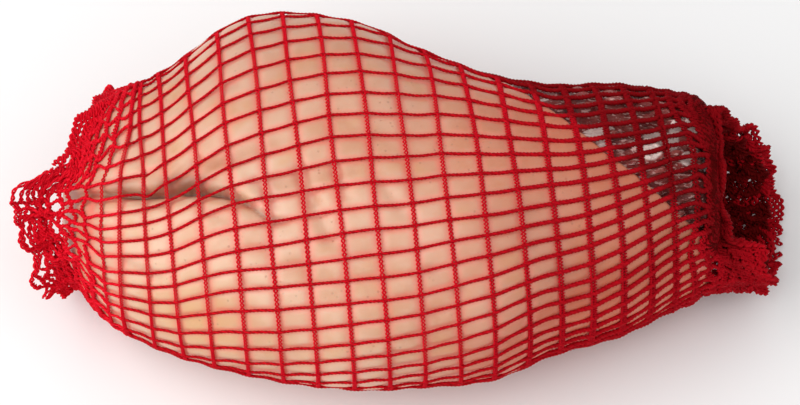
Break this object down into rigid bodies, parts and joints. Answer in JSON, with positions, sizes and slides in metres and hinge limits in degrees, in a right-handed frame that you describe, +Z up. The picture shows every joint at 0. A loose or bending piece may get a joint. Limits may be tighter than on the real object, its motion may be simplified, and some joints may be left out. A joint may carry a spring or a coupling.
{
  "type": "salted pork hock in net",
  "caption": "Salted pork hock with pale rind and a slanting cut showing dark lean meat, lying on its side in a stretched knitted net with ruffled ends.",
  "frame": {"origin": "centre of the bounding box in plan, on the surface that the hock lies on", "axes": "+X along the hock from the folded shank end to the cut lean end, +Y towards its back side with the cut, +Z up"},
  "size_m": [0.2511, 0.1306, 0.0834],
  "materials": {
    "hock": "smooth moist pork rind, pale and creased, with dark red lean meat and white fat where it is cut",
    "net": "knitted red elastic yarn, slightly glossy"
  },
  "bodies": {
    "root": {"hock": "hock", "net": "net"}
  },
  "joints": []
}
